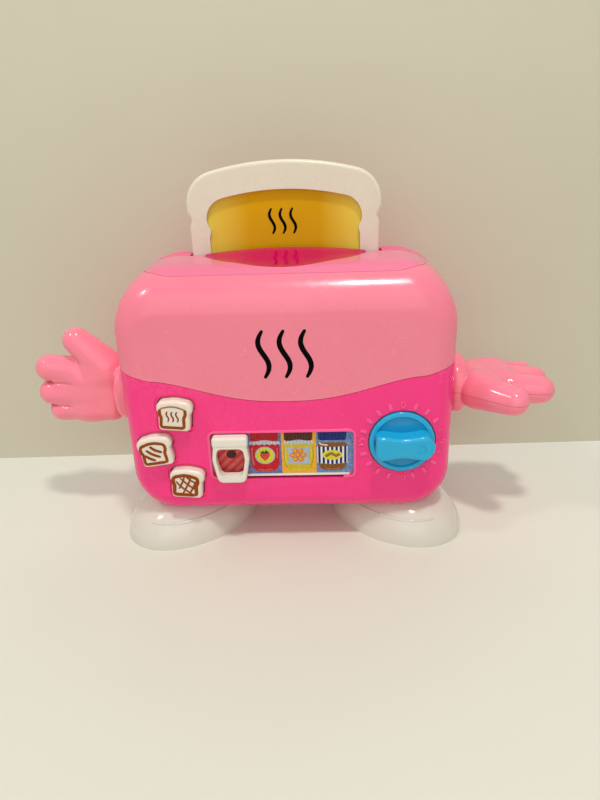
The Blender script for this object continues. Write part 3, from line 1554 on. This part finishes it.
@dataclass(frozen=True)
class Backdrop(Finish):
    """Painted floor or wall."""

    colour: Colour
    deep: Colour
    grain: float = 0.02

    def fill(self, tree: Tree, shader: Node) -> None:
        """Feeds a matt paint with a faint cloud."""
        surface = self.effect(tree, moulded_surface(), Colour=self.colour, Deep=self.deep, Tone=0.25,
                              Roughness=0.55, Smudge=0.1, Grain=self.grain)
        self.feed(tree, shader, surface)


FLOOR = Backdrop("floor_paint", (0.745, 0.745, 0.63), (0.73, 0.725, 0.605), grain=0.004)
WALL = Backdrop("wall_paint", (0.605, 0.575, 0.45), (0.585, 0.55, 0.42))


@dataclass(frozen=True)
class Lamp:
    """A soft square lamp."""

    name: str
    place: Colour
    aim: Colour
    size: float
    power: float
    colour: Colour = (1.0, 0.985, 0.96)

    def build(self) -> None:
        """Puts the lamp in the scene."""
        data = bpy.data.lights.new(self.name, "AREA")
        data.shape = "SQUARE"
        data.size = self.size
        data.energy = self.power
        data.color = self.colour
        lamp = bpy.data.objects.new(self.name, data)
        way = Vector(self.aim) - Vector(self.place)
        turn = way.to_track_quat("-Z", "Y").to_matrix().to_4x4()
        lamp.matrix_world = Matrix.Translation(self.place) @ turn
        bpy.context.scene.collection.objects.link(lamp)


@dataclass
class Studio:
    """Floor, wall, lamps and camera."""

    wall_y: float = 0.0965
    wall_slope: float = 0.0263
    wall_high: float = 2.4
    reach: float = 4.0
    focal: float = 624.6
    frame_high: int = 800
    sensor: float = 36.0
    nearest: float = 0.01
    pitch: float = 22.96
    yaw: float = -2.04
    roll: float = -1.93
    eye: Colour = (0.022, -0.41995, 0.2689)
    lamps: tuple = (
        Lamp("key_lamp", (0.16, -0.46, 1.4), (0, 0, 0.1), 0.12, 7.4),
        Lamp("left_lamp", (-0.8, -0.4, 1.2), (0, 0, 0.1), 0.12, 2.6),
        Lamp("front_lamp", (-0.1, -2.0, 1.3), (0, 0, 0.1), 2.2, 12.0),
        Lamp("back_lamp", (0.2, 2.0, 1.3), (0, 0, 0.1), 2.2, 12.0),
    )
    sky: Colour = (1.0, 0.99, 0.97)
    sky_level: float = 0.46

    def build(self) -> None:
        """Makes the whole studio."""
        side = self.reach
        corners = [(-side, -side, 0), (side, -side, 0), (side, side, 0), (-side, side, 0)]
        floor = self.sheet("floor", corners, FLOOR)
        near, far = self.wall_y - side * self.wall_slope, self.wall_y + side * self.wall_slope
        high = self.wall_high
        corners = [(-side, near, 0), (side, far, 0), (side, far, high), (-side, near, high)]
        wall = self.sheet("wall", corners, WALL)
        self.one_sided(WALL.material())
        for lamp in self.lamps:
            lamp.build()
        self.world()
        self.camera()

    def sheet(self, name: str, corners: list, finish: Finish) -> Thing:
        """Makes a flat sheet of the stage.

        Args:
            name: its name.
            corners: its four corners in metres.
            finish: its paint.

        Returns:
            The object.
        """
        mesh = bpy.data.meshes.new(name)
        mesh.from_pydata(corners, [], [[0, 1, 2, 3]])
        mesh.materials.append(finish.material())
        piece = bpy.data.objects.new(name, mesh)
        bpy.context.scene.collection.objects.link(piece)
        return piece

    def one_sided(self, material: Material) -> None:
        """Lets the wall show only to rays from its front, so that it hides and shades nothing."""
        tree = Tree(material.node_tree)
        output = next(node for node in material.node_tree.nodes if node.type == "OUTPUT_MATERIAL")
        paint = output.inputs["Surface"].links[0].from_socket
        path = tree.add("ShaderNodeLightPath")
        seen = tree.math("MAXIMUM", path.outputs["Is Camera Ray"], path.outputs["Is Glossy Ray"])
        back = tree.add("ShaderNodeNewGeometry").outputs["Backfacing"]
        shown = tree.math("MULTIPLY", seen, tree.math("SUBTRACT", 1.0, back))
        clear = tree.add("ShaderNodeBsdfTransparent")
        mixed = tree.add("ShaderNodeMixShader", {0: shown, 1: clear.outputs[0], 2: paint})
        material.node_tree.links.new(mixed.outputs[0], output.inputs["Surface"])

    def world(self) -> None:
        """Sets the plain soft light from all round."""
        world = bpy.data.worlds.new("studio_light")
        world.use_nodes = True
        back = world.node_tree.nodes["Background"]
        back.inputs["Color"].default_value = rgba(self.sky)
        back.inputs["Strength"].default_value = self.sky_level
        bpy.context.scene.world = world
        bpy.context.scene.view_settings.view_transform = "Standard"

    def camera(self) -> None:
        """Puts the camera where the photograph was taken from."""
        data = bpy.data.cameras.new("photo_camera")
        data.sensor_fit = "VERTICAL"
        data.sensor_height = self.sensor
        data.lens = self.sensor * self.focal / self.frame_high
        data.clip_start = self.nearest
        down, around, lean = (math.radians(angle) for angle in (self.pitch, self.yaw, self.roll))
        level = math.cos(down)
        ahead = Vector((math.sin(around) * level, math.cos(around) * level, -math.sin(down)))
        right = Vector((math.cos(around), -math.sin(around), 0.0))
        up = right.cross(ahead)
        turned = math.cos(lean) * right + math.sin(lean) * up
        right, up = turned, math.cos(lean) * up - math.sin(lean) * right
        turn = Matrix((right, up, -ahead)).transposed().to_4x4()
        camera = bpy.data.objects.new("photo_camera", data)
        camera.matrix_world = Matrix.Translation(self.eye) @ turn
        bpy.context.scene.collection.objects.link(camera)
        bpy.context.scene.camera = camera


def main() -> None:
    """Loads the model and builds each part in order."""
    logging.basicConfig(level=logging.INFO, format="%(name)s: %(message)s")
    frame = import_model()
    nodes = frame["nodes"]
    Studio().build()
    parts = [
        Housing(),
        ToastSlice(),
        Hand(-1),
        Hand(1),
        BreadKey(Topping.WARM, -73.5, 103.7, -5.0),
        BreadKey(Topping.STRIPES, -89.2, 77.7, 8.0),
        BreadKey(Topping.LATTICE, -70.2, 52.7, -5.0),
        PictureWindow(),
        TimerDial(),
        Shoe(-1),
        Shoe(1),
        Works(),
    ]
    for part in parts:
        part.build(nodes)
        LOG.info("built %s", type(part).__name__)


if __name__ == "__main__":
    main()
